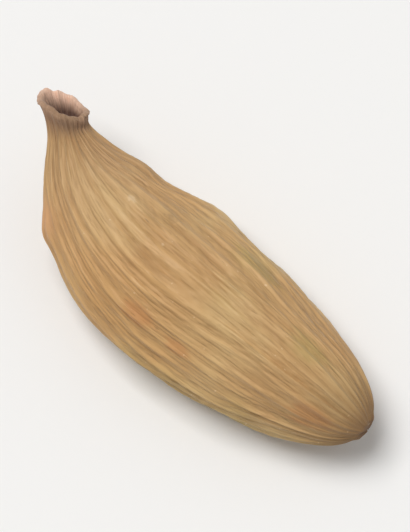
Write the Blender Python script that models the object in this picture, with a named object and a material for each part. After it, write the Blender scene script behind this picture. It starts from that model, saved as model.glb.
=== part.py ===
"""A dried green cardamom pod, lying on its flattest side.

The husk is one closed body: a short bent neck with a small open cup where the stalk was,
three blunt lengthwise ridges, fine ribs from the neck to the base, and a rounded base.
Sizes are in metres and angles in radians. +Z is up, +X runs from the cup to the base, +Y is
the straighter side, and the origin is on the ground under the middle of the pod.
"""

from math import pi, radians

import bmesh
import bpy
import numpy as np

# Overall size
LENGTH = 0.0170  # along the middle line, from the lip of the cup to the base
HALF_WIDTH = 0.00306
HALF_THICKNESS = 0.00272

# Middle line: the body runs nearly straight, and the neck turns aside and lifts
BODY_HEADING = radians(9.6)
NECK_TURN = radians(-37.6)
NECK_LIFT = radians(29)
NECK_REACH = 0.0047
LINE_STEPS = 400

# Lengthwise outline
WIDEST_SHARE = 0.49
NECK_SIDE_POWER = 0.98
BASE_TAPER = 1.45
BASE_BLUNTNESS = 0.44

# Neck and cup
NECK_RADIUS = 0.00068
LIP_RADIUS = 0.00083
LIP_FLARE_REACH = 0.00036
LIP_WALL = 0.00024
LIP_TILT = 0.00053
LIP_HIGH_SIDE = radians(221)
LIP_WAVES = ((2, 0.08, 1.0), (5, 0.05, 0.0))  # waves around, share of the radius, start
CUP_DEPTH = 0.00070
CUP_FLOOR_RADIUS = 0.00036

# Three blunt ridges, one of them on top, so that the pod lies on a face
RIDGES = 3
RIDGE_HEIGHT = 0.075  # as a share of the radius
RIDGE_START_SHARE = 0.25
TOP = pi / 2

# Fine ribs: they twist a little, wander from side to side, and differ in height
RIBS = 27
RIB_HEIGHT = 0.00007
RIDGE_RIB_GAIN = 0.7
RIDGE_RIB_POWER = 8
RIB_UNEVENNESS = 0.3
RIB_UNEVEN_STEPS = (2.4, 9)  # from rib to rib, and along the pod
RIB_TWIST = radians(14)
RIB_WANDER = radians(2.2)
RIB_WANDER_STEPS = (7, 3)  # along the pod, and around it
RIB_FADE_REACH = 0.10

# Seeds pressing from inside, a shoulder on the straighter side and a small knot on the other
SWELL_HEIGHT = 0.00004
SWELL_WAVES = ((3.3, 2, 0.0), (2.1, -3, 2.0))  # waves along, waves around, start
SHOULDER_HEIGHT = 0.00037
SHOULDER_ALONG = 0.0033
SHOULDER_AROUND = radians(5)
SHOULDER_LENGTH = 0.0012
SHOULDER_SPREAD = radians(45)
KNOT_HEIGHT = 0.00022
KNOT_ALONG = 0.0038
KNOT_AROUND = radians(188)
KNOT_LENGTH = 0.0005
KNOT_SPREAD = radians(14)

# Scar at the middle of the base
SCAR_RADIUS = 0.00045
SCAR_HEIGHT = 0.00006
SCAR_EDGE = 1.5  # the rise starts at this many scar radii from the middle

# Flat spot that the pod lies on, pressed up into the lowest face
FLAT_DEPTH = 0.00022

# Grid of the husk: four points to a rib, rings closer together at both ends
POINTS_PER_RIB = 4
SKIN_RINGS = 36
END_CROWDING = 0.62
LAST_RINGS = (0.6, 0.9)  # shares of the way from the last even ring to the base
LIP_RINGS = 4
WALL_RINGS = 2

HUSK_COLOUR = (0.50, 0.31, 0.14, 1.0)
HUSK_ROUGHNESS = 0.72


def clear_scene():
    for thing in list(bpy.data.objects):
        bpy.data.objects.remove(thing, do_unlink=True)


def middle_line(along):
    """Points of the middle line, and its three directions, at these distances from the lip.

    The heading and the lift ease from the neck's angles to the body's as a bell curve of
    NECK_REACH, and the line is the sum of short steps in those directions.
    """
    steps = np.linspace(-LIP_RADIUS, LENGTH + SCAR_HEIGHT, LINE_STEPS)
    ease = np.exp(-((np.maximum(steps, 0) / NECK_REACH) ** 2))
    heading = BODY_HEADING + NECK_TURN * ease
    lift = NECK_LIFT * ease
    onward = np.stack(
        [np.cos(lift) * np.cos(heading), np.cos(lift) * np.sin(heading), -np.sin(lift)], 1
    )
    line = np.cumsum(onward, 0) * (steps[1] - steps[0])
    here = np.stack([np.interp(along, steps, line[:, k]) for k in range(3)], -1)
    ahead = np.stack([np.interp(along, steps, onward[:, k]) for k in range(3)], -1)
    ahead /= np.linalg.norm(ahead, axis=-1, keepdims=True)
    aside = np.cross((0, 0, 1), ahead)
    aside /= np.linalg.norm(aside, axis=-1, keepdims=True)
    return here, ahead, aside, np.cross(ahead, aside)


def fullness(share):
    """Half width as a share of the largest: 0 at the lip, 1 at WIDEST_SHARE, 0 at the base.

    It is a power of a sine on the neck's side, and (1 - u ** BASE_TAPER) ** BASE_BLUNTNESS
    on the base's side, where u runs from 0 at the widest place to 1 at the base.
    """
    rising = np.sin(pi / 2 * np.clip(share / WIDEST_SHARE, 0, 1)) ** NECK_SIDE_POWER
    beyond = np.clip((share - WIDEST_SHARE) / (1 - WIDEST_SHARE), 0, 1)
    return rising * (1 - beyond**BASE_TAPER) ** BASE_BLUNTNESS


def rounded_max(first, second, sharpness=5):
    """The larger of two sizes, with a soft change from one to the other."""
    return (first**sharpness + second**sharpness) ** (1 / sharpness)


def mound(along, around, height, at_along, at_around, length, spread):
    """A bell-shaped rise of this height, length and spread around one place on the skin."""
    turned = np.mod(around - at_around + pi, 2 * pi) - pi
    return height * np.exp(-(((along - at_along) / length) ** 2) - (turned / spread) ** 2)


def relief(along, around, rib_line):
    """Height of the skin's relief: ribs, swells over the seeds, the shoulder and the knot."""
    share = along / LENGTH
    fade = np.clip(share / RIB_FADE_REACH, 0, 1) * np.clip((1 - share) / RIB_FADE_REACH, 0, 1)
    near_ridge = np.cos(RIDGES * (around - TOP)).clip(0, 1) ** RIDGE_RIB_POWER
    phase = RIBS * (rib_line - TOP)
    rib_step, share_step = RIB_UNEVEN_STEPS
    uneven = np.sin(rib_step * np.round(phase / (2 * pi)) + share_step * share)
    strength = 1 + RIDGE_RIB_GAIN * near_ridge + RIB_UNEVENNESS * uneven
    ribs = RIB_HEIGHT * (1 + np.cos(phase)) / 2 * strength
    swells = SWELL_HEIGHT * sum(
        np.sin(2 * pi * lengthwise * share + crosswise * around + start)
        for lengthwise, crosswise, start in SWELL_WAVES
    )
    shoulder = mound(
        along, around, SHOULDER_HEIGHT, SHOULDER_ALONG, SHOULDER_AROUND, SHOULDER_LENGTH, SHOULDER_SPREAD
    )
    knot = mound(along, around, KNOT_HEIGHT, KNOT_ALONG, KNOT_AROUND, KNOT_LENGTH, KNOT_SPREAD)
    return np.sqrt(fade) * (ribs + swells) + shoulder + knot


def skin_stations():
    """Distances of the skin's rings from the lip, crowded towards both ends."""
    even = np.linspace(0, 1, SKIN_RINGS + 1)[1:-1]
    share = even - END_CROWDING * np.sin(2 * pi * even) / (2 * pi)
    last = share[-1] + (1 - share[-1]) * np.array(LAST_RINGS)
    return LENGTH * np.concatenate([share, last])


def skin_rings(rib_line):
    """Rings of the outer skin from under the lip to the base's scar."""
    along = skin_stations()[:, None]
    share = along / LENGTH
    wander = RIB_WANDER_STEPS[0] * share + RIB_WANDER_STEPS[1] * rib_line
    around = rib_line + RIB_TWIST * (share - 0.5) + RIB_WANDER * np.sin(wander)
    flare = (LIP_RADIUS - NECK_RADIUS) * np.exp(-((along / LIP_FLARE_REACH) ** 2))
    neck = NECK_RADIUS * np.clip((1 - share) / (1 - WIDEST_SHARE), 0, 1)
    ridges = np.cos(RIDGES * (around - TOP)) * np.clip(share / RIDGE_START_SHARE, 0, 1)
    body = 1 + RIDGE_HEIGHT * ridges
    wide = rounded_max(HALF_WIDTH * fullness(share) * body, neck) + flare
    thick = rounded_max(HALF_THICKNESS * fullness(share) * body, neck) + flare
    raised = relief(along, around, rib_line)
    scar = SCAR_HEIGHT * np.clip(SCAR_EDGE - wide / SCAR_RADIUS, 0, 1) * (share > WIDEST_SHARE)
    tilt = LIP_TILT * np.cos(around - LIP_HIGH_SIDE) * np.exp(-((along / LIP_RADIUS) ** 2))
    return along, around, wide + raised, thick + raised, scar - tilt


def cup_rings(rib_line):
    """Rings over the lip and down the cup's wall to its floor.

    The lip is a half circle of LIP_WALL, and the wall narrows evenly from it to the floor.
    """
    turn = np.linspace(0, pi, LIP_RINGS + 2)[:-1]
    down = np.linspace(0, 1, WALL_RINGS + 1)
    mouth = LIP_RADIUS - LIP_WALL
    wall = mouth + (CUP_FLOOR_RADIUS - mouth) * down
    lip = LIP_RADIUS - LIP_WALL / 2 + LIP_WALL / 2 * np.cos(turn)
    along = np.concatenate([-LIP_WALL / 2 * np.sin(turn), CUP_DEPTH * down])[::-1, None]
    radius = np.concatenate([lip, wall])[::-1, None]
    around = rib_line - RIB_TWIST / 2 + 0 * radius
    wave = sum(size * np.sin(waves * around + start) for waves, size, start in LIP_WAVES)
    radius = radius * (1 + wave)
    tilt = LIP_TILT * np.cos(around - LIP_HIGH_SIDE) * np.clip(1 - along / CUP_DEPTH, 0, 1)
    return along, around, radius, radius, -tilt


def place_rings(along, around, wide, thick, shift):
    here, ahead, aside, upward = middle_line(along[:, 0])
    across = (wide * np.cos(around))[..., None] * aside[:, None]
    height = (thick * np.sin(around))[..., None] * upward[:, None]
    return here[:, None] + across + height + shift[..., None] * ahead[:, None]


def husk_rings():
    """All rings of points, from the cup's floor over the lip and down to the base."""
    rib_line = np.linspace(0, 2 * pi, RIBS * POINTS_PER_RIB, endpoint=False) + TOP
    cup = place_rings(*cup_rings(rib_line))
    skin = place_rings(*skin_rings(rib_line))
    return np.concatenate([cup, skin])


def settle(points):
    """Press a flat spot into the underside, and put the origin under the middle."""
    floor = points[..., 2].min() + FLAT_DEPTH
    points[..., 2] = np.maximum(points[..., 2], floor)
    corners = points.reshape(-1, 3)
    middle = (corners.min(0) + corners.max(0)) / 2
    return points - (middle[0], middle[1], floor)


def add_rings(shell, rings):
    """Join each ring to the next with four-sided faces, and close both ends with fans."""
    rows = [[shell.verts.new(point) for point in ring] for ring in rings]
    count = len(rows[0])
    for row, following in zip(rows, rows[1:]):
        for k in range(count):
            n = (k + 1) % count
            shell.faces.new((row[k], row[n], following[n], following[k]))
    for row, step in ((rows[0], -1), (rows[-1], 1)):
        centre = shell.verts.new(sum((vert.co for vert in row), row[0].co * 0) / count)
        for k in range(count):
            shell.faces.new((row[k], row[(k + step) % count], centre))


def husk_material():
    material = bpy.data.materials.new("husk")
    material.use_nodes = True
    shader = material.node_tree.nodes["Principled BSDF"]
    shader.inputs["Base Color"].default_value = HUSK_COLOUR
    shader.inputs["Roughness"].default_value = HUSK_ROUGHNESS
    shader.inputs["Metallic"].default_value = 0.0
    return material


def add_pod():
    shell = bmesh.new()
    add_rings(shell, settle(husk_rings()))
    bmesh.ops.recalc_face_normals(shell, faces=shell.faces)
    mesh = bpy.data.meshes.new("cardamom_pod")
    shell.to_mesh(mesh)
    shell.free()
    mesh.shade_smooth()
    mesh.materials.append(husk_material())
    pod = bpy.data.objects.new("cardamom_pod", mesh)
    bpy.context.collection.objects.link(pod)


clear_scene()
add_pod()
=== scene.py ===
"""Finish, light and camera for a dried green cardamom pod that lies on a pale floor."""

from math import cos, pi, radians, sin, sqrt

import bpy
import numpy as np
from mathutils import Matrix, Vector


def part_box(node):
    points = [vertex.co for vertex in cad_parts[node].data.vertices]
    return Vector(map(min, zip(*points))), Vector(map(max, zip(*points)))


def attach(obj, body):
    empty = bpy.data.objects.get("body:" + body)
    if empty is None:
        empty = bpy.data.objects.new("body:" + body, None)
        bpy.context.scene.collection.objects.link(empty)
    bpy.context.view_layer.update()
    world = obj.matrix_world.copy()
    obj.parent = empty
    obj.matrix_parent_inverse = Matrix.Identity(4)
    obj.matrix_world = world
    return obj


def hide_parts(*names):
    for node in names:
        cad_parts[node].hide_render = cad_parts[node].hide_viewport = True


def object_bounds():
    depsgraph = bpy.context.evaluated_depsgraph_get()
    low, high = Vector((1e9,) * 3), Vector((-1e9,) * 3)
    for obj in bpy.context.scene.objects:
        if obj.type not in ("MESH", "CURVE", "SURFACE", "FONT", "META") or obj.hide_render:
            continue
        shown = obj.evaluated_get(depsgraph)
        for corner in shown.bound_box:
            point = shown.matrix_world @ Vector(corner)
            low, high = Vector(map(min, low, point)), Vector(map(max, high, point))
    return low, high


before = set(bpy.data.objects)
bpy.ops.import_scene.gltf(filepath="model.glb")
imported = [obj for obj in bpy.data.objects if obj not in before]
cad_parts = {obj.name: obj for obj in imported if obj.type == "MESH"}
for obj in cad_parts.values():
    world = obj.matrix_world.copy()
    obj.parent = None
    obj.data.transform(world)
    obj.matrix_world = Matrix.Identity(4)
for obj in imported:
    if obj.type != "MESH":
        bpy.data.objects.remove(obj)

CAD_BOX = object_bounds()

# The solid that the fine husk stands for, and its body
NODE = "cardamom_pod"
BODY = "root"

# Overall size, in metres
LENGTH = 0.0170  # along the middle line, from the lip of the cup to the base
HALF_WIDTH = 0.00306
HALF_THICKNESS = 0.00272

# Middle line: the body runs nearly straight, and the neck turns aside and lifts
BODY_HEADING = radians(9.6)
NECK_TURN = radians(-37.6)
NECK_LIFT = radians(29)
NECK_REACH = 0.0047
LINE_STEPS = 400

# Lengthwise outline
WIDEST_SHARE = 0.49
NECK_SIDE_POWER = 0.98
BASE_TAPER = 1.45
BASE_BLUNTNESS = 0.44

# Neck and cup
NECK_RADIUS = 0.00068
LIP_RADIUS = 0.00083
LIP_FLARE_REACH = 0.00036
LIP_WALL = 0.00024
LIP_TILT = 0.00053
LIP_HIGH_SIDE = radians(221)
LIP_WAVES = ((2, 0.08, 1.0), (5, 0.05, 0.0))  # waves around, share of the radius, start
CUP_DEPTH = 0.00070
CUP_FLOOR_RADIUS = 0.00036
CUP_FLOOR_START = 0.2  # the innermost ring of the floor, as a share of its radius
CUP_DOME = 0.3  # rise of the cup's floor in its middle, as a share of the depth
# Painted shade in the cup: its brown wall is darkened with depth down the hollow
CUP_SHADE = (0.06, 0.60)  # depths between which the wall turns from the lip's colour to dark
# The lip's own pale pink is kept to its lower side as painted light, and its top left brown as
# painted shade
LIP_PALE_POWER = 1.5  # how fast the lip's paleness falls from its lower side to its top
# The collar is partly the neck's own brown and partly painted shade under the lip and on the lip's
# top
COLLAR_ALONG = 0.00020
COLLAR_LENGTH = 0.00085
NECK_TINT = 0.32  # the collar's fainter reach down the neck
NECK_TINT_LENGTH = 0.0050

# Three blunt ridges, one of them on top
RIDGES = 3
RIDGE_HEIGHT = 0.075  # as a share of the radius
RIDGE_START_SHARE = 0.25
TOP = pi / 2

# Ribs: they twist a little, wander from side to side, and differ in height
RIBS = 27
RIB_HEIGHT = 0.000078
RIB_SHARPNESS = 1.8
RIDGE_RIB_GAIN = 0.6
RIDGE_RIB_POWER = 8
RIB_UNEVENNESS = 0.3
RIB_UNEVEN_STEPS = (2.4, 9)  # from rib to rib, and along the pod
RIB_STRENGTHS = (0.1, 2)  # the least and the most, once all that varies is added
RIB_TWIST = radians(14)
RIB_WANDER = radians(2.2)
RIB_WANDER_STEPS = (7, 3)  # along the pod, and around it
RIB_FADE_REACH = 0.10

# Seeds pressing from inside, a shoulder on the straighter side and a small knot on the other
SWELL_HEIGHT = 0.00004
SWELL_WAVES = ((3.3, 2, 0.0), (2.1, -3, 2.0))  # waves along, waves around, start
SHOULDER_HEIGHT = 0.00037
SHOULDER_ALONG = 0.0033
SHOULDER_AROUND = radians(5)
SHOULDER_LENGTH = 0.0012
SHOULDER_SPREAD = radians(45)
KNOT_HEIGHT = 0.00022
KNOT_ALONG = 0.0038
KNOT_AROUND = radians(188)
KNOT_LENGTH = 0.0005
KNOT_SPREAD = radians(14)

# Scar at the middle of the base, and the flat spot underneath
SCAR_RADIUS = 0.00045
SCAR_HEIGHT = 0.00006
SCAR_EDGE = 1.5
SCAR_RIM_HEIGHT = 0.00003
SCAR_RIM_WIDTH = 0.25
BASE_TINT_WIDTH = 3  # the brown round the scar, as a number of scar radii
TINT_EDGE = 1.6  # the brown ends at this many of its widths
FLAT_DEPTH = 0.00022

# Fine relief of the dried skin: height in metres, waves around, waves along, seed
RIB_DRIFT = (radians(0.8), (3, 9), (0.5, 2.5), 11)
RIB_BREAKS = (0.36, (9, 40), (1.5, 6), 12)
SIDE_VEINS = (0.000016, (50, 90), (0, 1.0), 13)
PUCKERS = (0.000007, (20, 60), (14, 32), 14)
DENTS = (0.000018, (1, 5), (2, 6), 15)
GRAIN = (0.000004, (60, 110), (8, 50), 16)
LIP_FRAY = (0.000022, (3, 15), (0, 1), 17)
CUP_STRANDS = (0.000022, (7, 19), (0, 2), 18)
LIP_CREASES = (0.000008, (20, 60), (0, 1), 20)
SCAR_CHIPS = (0.35, (2, 9), (0, 30), 19)
PUCKER_GAIN = 1.4  # puckers are this strong in a valley, and less by the rib's own height

# Grid of the fine husk
POINTS_PER_RIB = 14
SKIN_RINGS = 216
END_CROWDING = 0.60
LAST_RINGS = (0.25, 0.5, 0.75, 0.92)
LIP_RINGS = 14
WALL_RINGS = 8
FLOOR_RINGS = 4

# Marks on the skin: along, around, length and spread
RUST_MARKS = (
    (0.0080, radians(136), 0.0009, radians(11)),
    (0.0099, radians(142), 0.0006, radians(8)),
    (0.0153, radians(132), 0.0010, radians(22)),
    (0.0110, radians(286), 0.0011, radians(13)),
    (0.0052, radians(318), 0.0006, radians(12)),
)
GREEN_MARKS = (
    (0.0102, radians(42), 0.0013, radians(18)),
    (0.0138, radians(74), 0.0011, radians(16)),
    (0.0070, radians(245), 0.0016, radians(24)),
    (0.0125, radians(200), 0.0012, radians(16)),
)
PALE_MARKS = (
    (0.0046, radians(73), 0.00030, radians(3.5)),
    (0.0094, radians(230), 0.00035, radians(5)),
)
WARM_MARKS = (
    (0.0060, radians(150), 0.0060, radians(65)),
    (0.0120, radians(285), 0.0045, radians(50)),
)
DARK_MARKS = (
    (0.0065, radians(64), 0.00045, radians(3.5)),
    (0.0131, radians(262), 0.00030, radians(4)),
    (0.0088, radians(345), 0.00025, radians(4)),
)
PINK_MARKS = ((0.0034, radians(182), 0.0006, radians(16)),)
MARKS = {
    "warm": WARM_MARKS,
    "pink": PINK_MARKS,
    "rust": RUST_MARKS,
    "green": GREEN_MARKS,
    "pale": PALE_MARKS,
    "dark": DARK_MARKS,
}

# Patterns of the finish: noise scale, detail, and the levels where each starts and is full
CLOUDS = (260, 3, 0.38, 0.66)
GREEN_CLOUDS = (170, 2, 0.52, 0.70)
HAIRS = (34, 2, 0.45, 0.72)
DASHES = (52, 1, 0.72, 0.79)
FLECKS = (5000, 1, 0.76, 0.79)

# Coarse streaks: noise scale, detail and roughness, and their levels
COARSE_STREAKS = (12, 4, 0.6)
STREAK_LEVELS = (0.48, 0.70)

# Uneven edges of the marks: noise scale, detail and range, and the levels of each mark
RAGGED_RANGE = 1.2  # the edges of the large marks follow the coarse streaks
SPOT_BREAKS = (6500, 2, 1.3)
SCAR_BREAKS = (3600, 3, 1.2)
RUST_LEVELS = (0.25, 0.85)
GREEN_LEVELS = (0.25, 0.95)
SPOT_LEVELS = (0.30, 0.95)
SCAR_LEVELS = (0.35, 0.85)

# Surface of the husk
HUSK_ROUGHNESS = 0.62
STREAK_ROUGHNESS = 0.12
RIB_POLISH = 0.06
HAIR_RELIEF = 0.6
STREAK_RELIEF = 0.4
GRAIN_RELIEF = 0.6
GRAIN_NOISE = (4200, 3)  # scale and detail
BUMP_STRENGTH = 0.9
BUMP_DISTANCE = 0.00003
SHEEN = 0.08
SHEEN_ROUGHNESS = 0.4

# Camera: it looks down on the pod along the photograph's line, with the cup at the upper left
VIEW_AZIMUTH = radians(47.5)
VIEW_ELEVATION = radians(75)
CAMERA_DISTANCE = 0.14
FRAME_WIDTH = 0.0152  # what the picture's width covers at the pod
SENSOR_WIDTH = 36.0
NEAREST_SEEN = 0.01
FARTHEST_SEEN = 20.0

# Lights: azimuth and elevation in degrees, distance and size in metres, watts, colour
KEY_LIGHT = (282, 70, 1.2, 0.6, 10.5, (1.0, 0.99, 0.98))
FILL_LIGHT = (170, 50, 1.2, 0.9, 0.8, (0.98, 0.99, 1.0))
SKY_STRENGTH = 0.35

# Floor, in metres
BOWL_FLAT = 1.0
BOWL_RADIUS = 3.0
BOWL_HEIGHT = 1.5
BOWL_RINGS = 16
BOWL_SIDES = 64
FLOOR_ROUGHNESS = 0.7


def srgb(red, green, blue):
    """A colour given as 0 to 255 display values, in the linear values that nodes take."""
    shown = np.array((red, green, blue)) / 255
    linear = np.where(shown <= 0.04045, shown / 12.92, ((shown + 0.055) / 1.055) ** 2.4)
    return (*linear.tolist(), 1.0)


TAN = srgb(203, 163, 110)
STRAW = srgb(214, 182, 128)
OLIVE = srgb(176, 158, 92)
AMBER = srgb(212, 162, 98)
# Painted shade for the valleys between the ribs
VALLEY_SHADE = srgb(152, 112, 66)
STREAK = srgb(138, 98, 54)
RUST = srgb(190, 118, 62)
KNOT_PINK = srgb(222, 164, 116)
LIP_PINK = srgb(250, 208, 182)
# Brown of the collar, partly its own colour and partly painted shade under the lip
COLLAR_BROWN_AND_SHADE = srgb(145, 113, 93)
# The cup's own brown and its fibres, darkened as painted shade down the hollow
CUP_SHADED_BROWN = srgb(96, 66, 52)
CUP_SHADED_FIBRE = srgb(138, 100, 76)
BASE_BROWN = srgb(142, 100, 56)
SCAR_BROWN = srgb(130, 88, 52)
SPECK_DARK = srgb(98, 66, 38)
SPECK_PALE = srgb(236, 208, 168)
FLOOR_WHITE = srgb(240, 240, 239)


def middle_line(along):
    """Points of the middle line, and its three directions, at these distances from the lip.

    The heading and the lift ease from the neck's angles to the body's as a bell curve of
    NECK_REACH, and the line is the sum of short steps in those directions.
    """
    steps = np.linspace(-LIP_RADIUS, LENGTH + SCAR_HEIGHT, LINE_STEPS)
    ease = np.exp(-((np.maximum(steps, 0) / NECK_REACH) ** 2))
    heading = BODY_HEADING + NECK_TURN * ease
    lift = NECK_LIFT * ease
    onward = np.stack(
        [np.cos(lift) * np.cos(heading), np.cos(lift) * np.sin(heading), -np.sin(lift)], 1
    )
    line = np.cumsum(onward, 0) * (steps[1] - steps[0])
    here = np.stack([np.interp(along, steps, line[:, k]) for k in range(3)], -1)
    ahead = np.stack([np.interp(along, steps, onward[:, k]) for k in range(3)], -1)
    ahead /= np.linalg.norm(ahead, axis=-1, keepdims=True)
    aside = np.cross((0, 0, 1), ahead)
    aside /= np.linalg.norm(aside, axis=-1, keepdims=True)
    return here, ahead, aside, np.cross(ahead, aside)


def fullness(share):
    """Half width as a share of the largest: 0 at the lip, 1 at WIDEST_SHARE, 0 at the base.

    It is a power of a sine on the neck's side, and (1 - u ** BASE_TAPER) ** BASE_BLUNTNESS
    on the base's side, where u runs from 0 at the widest place to 1 at the base.
    """
    rising = np.sin(pi / 2 * np.clip(share / WIDEST_SHARE, 0, 1)) ** NECK_SIDE_POWER
    beyond = np.clip((share - WIDEST_SHARE) / (1 - WIDEST_SHARE), 0, 1)
    return rising * (1 - beyond**BASE_TAPER) ** BASE_BLUNTNESS


def rounded_max(first, second, sharpness=5):
    """The larger of two sizes, with a soft change from one to the other."""
    return (first**sharpness + second**sharpness) ** (1 / sharpness)


def bell(along, around, at_along, at_around, length, spread):
    """exp(-(a / length) ** 2 - (b / spread) ** 2), a and b being the ways from one place."""
    turned = np.mod(around - at_around + pi, 2 * pi) - pi
    return np.exp(-(((along - at_along) / length) ** 2) - (turned / spread) ** 2)


def ripples(rib_line, share, relief, count=48):
    """A field of random cosines with whole numbers of waves around, times its height.

    height * sqrt(2 / count) * sum of cos(a * rib_line + 2 pi * b * share + c), with a and b
    drawn from the ranges for around and along, and c from a full turn.
    """
    height, waves_around, waves_along, seed = relief
    draw = np.random.default_rng(seed)
    around = draw.integers(waves_around[0], waves_around[1], count, endpoint=True)
    along = draw.uniform(waves_along[0], waves_along[1], count) * draw.choice((-1, 1), count)
    start = draw.uniform(0, 2 * pi, count)
    total = 0
    for a, b, c in zip(around, along, start):
        total = total + np.cos(a * rib_line + 2 * pi * b * share + c)
    return height * sqrt(2 / count) * total


def rib_profile(around, rib_line, share):
    """Ribs from 0 in a valley to about 1 on a crest: a raised cosine to RIB_SHARPNESS."""
    phase = RIBS * (rib_line - TOP)
    rib_step, share_step = RIB_UNEVEN_STEPS
    uneven = np.sin(rib_step * np.round(phase / (2 * pi)) + share_step * share)
    near_ridge = np.cos(RIDGES * (around - TOP)).clip(0, 1) ** RIDGE_RIB_POWER
    breaks = ripples(rib_line, share, RIB_BREAKS)
    strength = 1 + RIDGE_RIB_GAIN * near_ridge + RIB_UNEVENNESS * uneven + breaks
    return ((1 + np.cos(phase)) / 2) ** RIB_SHARPNESS * strength.clip(*RIB_STRENGTHS)


def end_fade(share):
    """1 along the body, falling as a square root to 0 at the lip and at the base."""
    fade = np.clip(share / RIB_FADE_REACH, 0, 1) * np.clip((1 - share) / RIB_FADE_REACH, 0, 1)
    return np.sqrt(fade)


def lip_lit_side(around):
    """Paleness of the lip as painted light: 1 on its lower side, and 0 on top."""
    return ((1 - np.sin(around)) / 2) ** LIP_PALE_POWER


def collar(along):
    """Brown band round the neck under the lip, and a fainter one that reaches down the neck."""
    below = np.maximum(along, 0)
    # the band is partly its own brown and partly painted shade under the lip
    band = np.exp(-(((below - COLLAR_ALONG) / COLLAR_LENGTH) ** 2))
    return np.maximum(band, NECK_TINT * np.exp(-((below / NECK_TINT_LENGTH) ** 2)))


def skin_stations():
    """Distances of the skin's rings from the lip, crowded towards both ends."""
    even = np.linspace(0, 1, SKIN_RINGS + 1)[1:-1]
    share = even - END_CROWDING * np.sin(2 * pi * even) / (2 * pi)
    last = share[-1] + (1 - share[-1]) * np.array(LAST_RINGS)
    return LENGTH * np.concatenate([share, last])


def skin_rings(rib_line):
    """The outer skin from under the lip to the base's scar, ring by ring.

    Each ring is a rounded three-lobed oval, wide * cos and thick * sin of the angle around,
    and the ribs, the swells and the fine relief are added to both radii.
    """
    along = skin_stations()[:, None]
    share = along / LENGTH
    wander = RIB_WANDER_STEPS[0] * share + RIB_WANDER_STEPS[1] * rib_line
    around = rib_line + RIB_TWIST * (share - 0.5) + RIB_WANDER * np.sin(wander)
    fade = end_fade(share)
    around = around + ripples(rib_line, share, RIB_DRIFT) * fade
    near_lip = np.exp(-((along / LIP_RADIUS) ** 2))
    at_lip = np.exp(-((along / LIP_FLARE_REACH) ** 2))
    base_side = share > WIDEST_SHARE
    flare = (LIP_RADIUS - NECK_RADIUS) * at_lip
    neck = NECK_RADIUS * np.clip((1 - share) / (1 - WIDEST_SHARE), 0, 1)
    ridges = np.cos(RIDGES * (around - TOP)) * np.clip(share / RIDGE_START_SHARE, 0, 1)
    body = 1 + RIDGE_HEIGHT * ridges
    wide = rounded_max(HALF_WIDTH * fullness(share) * body, neck) + flare
    thick = rounded_max(HALF_THICKNESS * fullness(share) * body, neck) + flare
    ribs = rib_profile(around, rib_line, share)
    swells = SWELL_HEIGHT * sum(
        np.sin(2 * pi * lengthwise * share + crosswise * around + start)
        for lengthwise, crosswise, start in SWELL_WAVES
    )
    shoulder = bell(
        along, around, SHOULDER_ALONG, SHOULDER_AROUND, SHOULDER_LENGTH, SHOULDER_SPREAD
    )
    knot = bell(along, around, KNOT_ALONG, KNOT_AROUND, KNOT_LENGTH, KNOT_SPREAD)
    slimness = np.clip(wide / HALF_WIDTH, 0, 1)
    fine = ripples(rib_line, share, PUCKERS) * (PUCKER_GAIN - ribs)
    fine = fine + sum(ripples(rib_line, share, relief) for relief in (SIDE_VEINS, DENTS, GRAIN))
    raised = fade * (RIB_HEIGHT * ribs + swells) + slimness * fine
    raised = raised + SHOULDER_HEIGHT * shoulder + KNOT_HEIGHT * knot
    raised = raised + ripples(rib_line, 0, LIP_CREASES) * near_lip
    scar_rim = SCAR_RIM_HEIGHT * np.exp(-(((wide / SCAR_RADIUS - 1) / SCAR_RIM_WIDTH) ** 2))
    scar = SCAR_HEIGHT * np.clip(SCAR_EDGE - wide / SCAR_RADIUS, 0, 1) + scar_rim
    scar = scar * (1 + ripples(rib_line, share, SCAR_CHIPS)) * base_side
    tilt = LIP_TILT * np.cos(around - LIP_HIGH_SIDE) * near_lip
    fray = ripples(rib_line, 0, LIP_FRAY) * at_lip
    marks = {
        "rib": ribs * fade,
        "cup": 0 * ribs,
        # painted light: the lip's pink only on its lower side
        "lip": at_lip * lip_lit_side(around),
        "collar": collar(along) + 0 * ribs,
        "base": np.clip(TINT_EDGE - wide / (BASE_TINT_WIDTH * SCAR_RADIUS), 0, 1) * base_side,
        "scar": np.clip(TINT_EDGE - wide / SCAR_RADIUS, 0, 1) * base_side,
    }
    return along, around, wide + raised, thick + raised, scar - tilt - fray, marks


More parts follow.
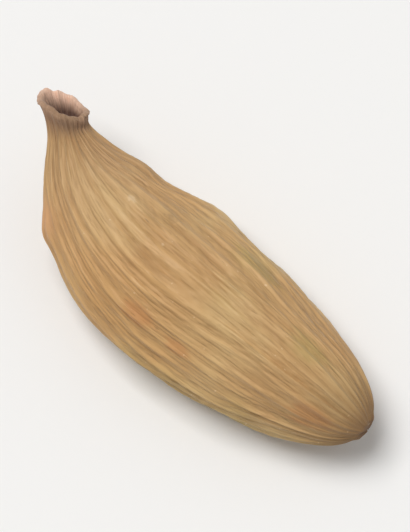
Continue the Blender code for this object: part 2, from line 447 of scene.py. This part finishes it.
def cup_rings(rib_line):
    """Rings from the cup's floor up its wall and over the lip.

    The floor is a low dome, the wall widens evenly, and the lip is a half circle of
    LIP_WALL. Strands roughen the floor and the wall, and the lip's edge is uneven.
    """
    out = np.linspace(CUP_FLOOR_START, 1, FLOOR_RINGS + 1)[:-1]
    up = np.linspace(0, 1, WALL_RINGS + 1)
    turn = np.linspace(pi, 0, LIP_RINGS + 2)[1:]
    mouth = LIP_RADIUS - LIP_WALL
    floor_radius = CUP_FLOOR_RADIUS * out
    wall_radius = CUP_FLOOR_RADIUS + (mouth - CUP_FLOOR_RADIUS) * up
    lip_radius = LIP_RADIUS - LIP_WALL / 2 + LIP_WALL / 2 * np.cos(turn)
    radius = np.concatenate([floor_radius, wall_radius, lip_radius])[:, None]
    along = np.concatenate(
        [
            CUP_DEPTH * (1 - CUP_DOME * (1 - out**2)),
            CUP_DEPTH * (1 - up),
            -LIP_WALL / 2 * np.sin(turn),
        ]
    )[:, None]
    around = rib_line - RIB_TWIST / 2 + 0 * radius
    wave = sum(size * np.sin(waves * around + start) for waves, size, start in LIP_WAVES)
    depth = np.clip(along / CUP_DEPTH, 0, 1)
    strands = ripples(rib_line, depth, CUP_STRANDS) * np.sqrt(depth) * np.clip(radius / mouth, 0, 1)
    radius = radius * (1 + wave) + strands + ripples(rib_line, 0, LIP_CREASES) * (1 - depth)
    tilt = LIP_TILT * np.cos(around - LIP_HIGH_SIDE) * (1 - depth)
    fray = ripples(rib_line, 0, LIP_FRAY) * (1 - depth) ** 2
    marks = {
        # half of the valleys' painted shade over the cup
        "rib": 0.5 + 0 * radius,
        # painted shade: the cup's wall darkens with depth down the hollow
        "cup": np.clip((depth - CUP_SHADE[0]) / (CUP_SHADE[1] - CUP_SHADE[0]), 0, 1) + 0 * radius,
        # painted light: the lip's pink only on its lower side
        "lip": (1 - depth) * lip_lit_side(around),
        # the collar's brown, as painted shade on the lip's top where its pink is not painted
        "collar": collar(0) + 0 * radius,
        "base": 0 * radius,
        "scar": 0 * radius,
    }
    return along, around, radius, radius, -tilt - fray, marks


def place_rings(along, around, wide, thick, shift):
    """Points of the rings, set square to the middle line and shifted along it."""
    here, ahead, aside, upward = middle_line(along[:, 0])
    across = (wide * np.cos(around))[..., None] * aside[:, None]
    height = (thick * np.sin(around))[..., None] * upward[:, None]
    return here[:, None] + across + height + shift[..., None] * ahead[:, None]


def settle(points):
    """Press in the flat spot underneath, and set the pod where the solid lies."""
    low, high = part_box(NODE)
    floor = points[..., 2].min() + FLAT_DEPTH
    points[..., 2] = np.maximum(points[..., 2], floor)
    corners = points.reshape(-1, 3)
    middle = (corners.min(0) + corners.max(0)) / 2
    place = ((low[0] + high[0]) / 2, (low[1] + high[1]) / 2, low[2])
    return points - (middle[0], middle[1], floor) + place


def grid_mesh(name, rings):
    """A closed mesh of rings: four-sided faces between them, and a fan at either end."""
    rows, count = rings.shape[:2]
    ends = rings[[0, -1]].mean(1)
    index = np.arange(rows * count).reshape(rows, count)
    following = np.roll(index, -1, axis=1)
    quads = np.stack([index[:-1], following[:-1], following[1:], index[1:]], -1).reshape(-1, 4)
    first = np.stack([following[0], index[0], np.full(count, rows * count)], -1)
    last = np.stack([index[-1], following[-1], np.full(count, rows * count + 1)], -1)
    mesh = bpy.data.meshes.new(name)
    points = np.concatenate([rings.reshape(-1, 3), ends])
    mesh.from_pydata(points.tolist(), [], quads.tolist() + first.tolist() + last.tolist())
    mesh.shade_smooth()
    return mesh


def write_number(mesh, name, rings):
    """Keep one number for each point as a mesh attribute; the two ends take a ring's mean."""
    values = np.concatenate([rings.ravel(), rings[[0, -1]].mean(1)]).astype(np.float32)
    mesh.attributes.new(name, "FLOAT", "POINT").data.foreach_set("value", values)


def write_place(mesh, name, rings):
    """Keep one place for each point as a mesh attribute."""
    values = np.concatenate([rings.reshape(-1, 3), rings[[0, -1]].mean(1)]).astype(np.float32)
    mesh.attributes.new(name, "FLOAT_VECTOR", "POINT").data.foreach_set("vector", values.ravel())


def fibre_place(along, rib_line):
    """A place for patterns that run with the ribs: round a unit circle, and half as long."""
    around = rib_line + 0 * along
    return np.stack([np.cos(around), np.sin(around), along / LENGTH / 2 + 0 * around], -1)


class Wire:
    """An output socket of a material. Arithmetic on it adds Math nodes."""

    def __init__(self, paint, socket):
        self.paint = paint
        self.socket = socket

    def math(self, operation, first, second):
        return self.paint.node("ShaderNodeMath", {"operation": operation}, {0: first, 1: second})

    def __add__(self, other):
        return self.math("ADD", self, other)

    def __sub__(self, other):
        return self.math("SUBTRACT", self, other)

    def __rsub__(self, other):
        return self.math("SUBTRACT", other, self)

    def __mul__(self, other):
        return self.math("MULTIPLY", self, other)

    __radd__ = __add__


class Paint:
    """The node tree of one material."""

    def __init__(self, name):
        self.material = bpy.data.materials.new(name)
        self.material.use_nodes = True
        self.tree = self.material.node_tree
        self.tree.nodes.clear()

    def node(self, kind, settings=None, sockets=None, output=0):
        """Add a node: its settings first, then the values or the links of its sockets."""
        made = self.tree.nodes.new(kind)
        for name, value in (settings or {}).items():
            setattr(made, name, value)
        for name, value in (sockets or {}).items():
            if isinstance(value, Wire):
                self.tree.links.new(value.socket, made.inputs[name])
            else:
                made.inputs[name].default_value = value
        return Wire(self, made.outputs[output])

    def number(self, name):
        """A mesh attribute that holds one number."""
        settings = {"attribute_name": name}
        return self.node("ShaderNodeAttribute", settings, output="Fac")

    def place(self, name):
        """A mesh attribute that holds a place."""
        return self.node("ShaderNodeAttribute", {"attribute_name": name}, output="Vector")

    def own_place(self):
        """Object coordinates."""
        return self.node("ShaderNodeTexCoord", output="Object")

    def noise(self, place, scale, detail, roughness=0.5):
        """Cloudy noise about 0.5."""
        sockets = {"Vector": place, "Scale": scale, "Detail": detail, "Roughness": roughness}
        return self.node("ShaderNodeTexNoise", None, sockets)

    def between(self, value, low, high):
        """0 up to low, 1 from high on, and smooth in between."""
        settings = {"interpolation_type": "SMOOTHSTEP"}
        sockets = {"Value": value, "From Min": low, "From Max": high}
        return self.node("ShaderNodeMapRange", settings, sockets)

    def pattern(self, place, scale, detail, low, high):
        """Cloudy noise, turned to 0 up to the low level and 1 from the high level on."""
        return self.between(self.noise(place, scale, detail), low, high)

    def uneven(self, place, scale, detail, span):
        """Cloudy noise about 0, over this range."""
        return (self.noise(place, scale, detail) - 0.5) * span

    def mix(self, share, first, second):
        """The first colour, with this share of the second."""
        settings = {"data_type": "RGBA", "clamp_factor": True}
        return self.node("ShaderNodeMix", settings, {0: share, 6: first, 7: second}, 2)

    def finish(self, colour, roughness, normal=None, **constants):
        """Join all to a Principled shader and the material's output."""
        sockets = {"Base Color": colour, "Roughness": roughness}
        if normal is not None:
            sockets["Normal"] = normal
        sockets.update({name.replace("_", " "): value for name, value in constants.items()})
        shader = self.node("ShaderNodeBsdfPrincipled", None, sockets)
        out = self.tree.nodes.new("ShaderNodeOutputMaterial")
        self.tree.links.new(shader.socket, out.inputs["Surface"])
        return self.material


def husk_paint():
    """Dry papery husk: tan, straw and green clouds, fine lengthwise streaks, marks, painted shade
    and light.
    """
    paint = Paint("husk")
    own = paint.own_place()
    fibre = paint.place("fibre_place")
    rib = paint.number("rib")
    cloud = paint.pattern(own, *CLOUDS)
    green = paint.pattern(own, *GREEN_CLOUDS)
    hair = paint.pattern(fibre, *HAIRS)
    dash = paint.pattern(fibre, *DASHES)
    fleck = paint.pattern(own, *FLECKS)
    coarse = paint.noise(fibre, *COARSE_STREAKS)
    streak = paint.between(coarse, *STREAK_LEVELS)
    ragged = (coarse - 0.5) * RAGGED_RANGE
    rust = paint.between(paint.number("rust") + ragged, *RUST_LEVELS)
    olive = paint.between(paint.number("green") + ragged, *GREEN_LEVELS)
    broken = paint.uneven(own, *SPOT_BREAKS)
    light = paint.between(paint.number("pale") + broken, *SPOT_LEVELS)
    dark = paint.between(paint.number("dark") + broken, *SPOT_LEVELS)
    scar = paint.between(paint.number("scar") + paint.uneven(own, *SCAR_BREAKS), *SCAR_LEVELS)
    layers = (  # where each layer lies, its strength and its colour, from the lowest up
        (paint.number("warm"), 0.60, AMBER),
        (green, 0.45, OLIVE),
        (olive, 0.50, OLIVE),
        # painted shade: the valleys between the ribs darkened as if in shade
        (1 - rib, 0.22, VALLEY_SHADE),
        (streak, 0.35, STREAK),
        (hair, 0.24, STREAK),
        (rust, 0.40, RUST),
        (paint.number("pink"), 0.60, KNOT_PINK),
        (paint.number("base"), 0.75, BASE_BROWN),
        (scar, 0.60, SCAR_BROWN),
        (light, 0.45, SPECK_PALE),
        (dark, 0.32, SPECK_DARK),
        (dash, 0.45, SPECK_DARK),
        (fleck, 0.40, SPECK_PALE),
        # the collar: its own brown, partly painted shade under the lip
        (paint.number("collar"), 0.80, COLLAR_BROWN_AND_SHADE),
        # the lip's own pink, kept to its lower side as painted light
        (paint.number("lip"), 1.00, LIP_PINK),
        # the cup's brown, darkened with depth as painted shade
        (paint.number("cup"), 1.00, paint.mix(streak, CUP_SHADED_BROWN, CUP_SHADED_FIBRE)),
    )
    colour = paint.mix(cloud, TAN, STRAW)
    for where, strength, tint in layers:
        colour = paint.mix(where * strength, colour, tint)
    roughness = HUSK_ROUGHNESS + streak * STREAK_ROUGHNESS - rib * RIB_POLISH
    grain = hair * HAIR_RELIEF + paint.noise(own, *GRAIN_NOISE) * GRAIN_RELIEF
    height = grain - streak * STREAK_RELIEF
    sockets = {"Strength": BUMP_STRENGTH, "Distance": BUMP_DISTANCE, "Height": height}
    bump = paint.node("ShaderNodeBump", None, sockets)
    sheen = {"Sheen_Weight": SHEEN, "Sheen_Roughness": SHEEN_ROUGHNESS}
    return paint.finish(colour, roughness, bump, **sheen)


def make_husk():
    """The whole pod as one closed surface, from the cup's floor to the base."""
    rib_line = np.linspace(0, 2 * pi, RIBS * POINTS_PER_RIB, endpoint=False) + TOP
    cup_along, cup_around, *cup_sizes, cup_marks = cup_rings(rib_line)
    skin_along, skin_around, *skin_sizes, skin_marks = skin_rings(rib_line)
    cup = place_rings(cup_along, cup_around, *cup_sizes)
    skin = place_rings(skin_along, skin_around, *skin_sizes)
    mesh = grid_mesh("cardamom_husk", settle(np.concatenate([cup, skin])))
    along = np.concatenate([cup_along, skin_along])
    around = np.concatenate([cup_around, skin_around])
    for name in cup_marks:
        write_number(mesh, name, np.concatenate([cup_marks[name], skin_marks[name]]))
    for name, places in MARKS.items():
        write_number(mesh, name, sum(bell(along, around, *place) for place in places))
    write_place(mesh, "fibre_place", fibre_place(along, rib_line))
    mesh.materials.append(husk_paint())
    husk = bpy.data.objects.new("cardamom_husk", mesh)
    bpy.context.collection.objects.link(husk)
    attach(husk, BODY)
    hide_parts(NODE)
    return husk


def make_floor():
    """A wide pale floor at the height that the pod lies on, which curves up far away.

    Its height is BOWL_HEIGHT * t ** 2, t running from 0 at BOWL_FLAT to 1 at BOWL_RADIUS.
    """
    turn = np.linspace(0, 2 * pi, BOWL_SIDES, endpoint=False)
    radius = np.concatenate([[BOWL_FLAT / 2], np.linspace(BOWL_FLAT, BOWL_RADIUS, BOWL_RINGS)])
    rise = BOWL_HEIGHT * np.clip((radius - BOWL_FLAT) / (BOWL_RADIUS - BOWL_FLAT), 0, 1) ** 2
    x = radius[:, None] * np.cos(turn)
    y = radius[:, None] * np.sin(turn)
    z = CAD_BOX[0].z + rise[:, None] + 0 * x
    points = np.stack([x, y, z], -1).reshape(-1, 3)
    index = np.arange(len(points)).reshape(x.shape)
    following = np.roll(index, -1, axis=1)
    quads = np.stack([index[:-1], index[1:], following[1:], following[:-1]], -1).reshape(-1, 4)
    mesh = bpy.data.meshes.new("floor")
    mesh.from_pydata(points.tolist(), [], [index[0].tolist()] + quads.tolist())
    mesh.shade_smooth()
    mesh.materials.append(Paint("floor").finish(FLOOR_WHITE, FLOOR_ROUGHNESS))
    floor = bpy.data.objects.new("floor", mesh)
    bpy.context.collection.objects.link(floor)


def look_from(azimuth, elevation):
    """Unit vector from the pod towards a viewer. Azimuth 0 looks along +Y, 90 along -X."""
    flat = cos(elevation)
    return Vector((sin(azimuth) * flat, -cos(azimuth) * flat, sin(elevation)))


def add_light(name, azimuth, elevation, distance, size, power, colour):
    """A square soft light that faces the pod."""
    light = bpy.data.lights.new(name, "AREA")
    light.size = size
    light.energy = power
    light.color = colour
    towards = look_from(radians(azimuth), radians(elevation))
    lamp = bpy.data.objects.new(name, light)
    lamp.location = towards * distance
    lamp.rotation_euler = towards.to_track_quat("Z", "Y").to_euler()
    bpy.context.collection.objects.link(lamp)


def make_lights():
    """A soft light high on the picture's upper left, a weak one on its right, and an even sky."""
    add_light("key", *KEY_LIGHT)
    add_light("fill", *FILL_LIGHT)
    world = bpy.data.worlds.new("studio")
    world.use_nodes = True
    background = world.node_tree.nodes["Background"]
    background.inputs["Color"].default_value = (1.0, 1.0, 1.0, 1.0)
    background.inputs["Strength"].default_value = SKY_STRENGTH
    bpy.context.scene.world = world


def make_camera(husk):
    """A long lens that looks down on the pod, with the pod in the middle of the picture."""
    back = look_from(VIEW_AZIMUTH, VIEW_ELEVATION)
    turn = back.to_track_quat("Z", "Y")
    axes = np.array(turn.to_matrix())
    points = np.empty(3 * len(husk.data.vertices))
    husk.data.vertices.foreach_get("co", points)
    seen = points.reshape(-1, 3) @ axes
    aim = axes @ (seen.min(0) + seen.max(0)) / 2
    camera = bpy.data.cameras.new("camera")
    camera.sensor_fit = "HORIZONTAL"
    camera.sensor_width = SENSOR_WIDTH
    camera.lens = SENSOR_WIDTH * CAMERA_DISTANCE / FRAME_WIDTH
    camera.clip_start = NEAREST_SEEN
    camera.clip_end = FARTHEST_SEEN
    holder = bpy.data.objects.new("camera", camera)
    holder.location = Vector(aim) + back * CAMERA_DISTANCE
    holder.rotation_euler = turn.to_euler()
    bpy.context.collection.objects.link(holder)
    bpy.context.scene.camera = holder
    bpy.context.scene.view_settings.view_transform = "Standard"


husk = make_husk()
make_floor()
make_lights()
make_camera(husk)
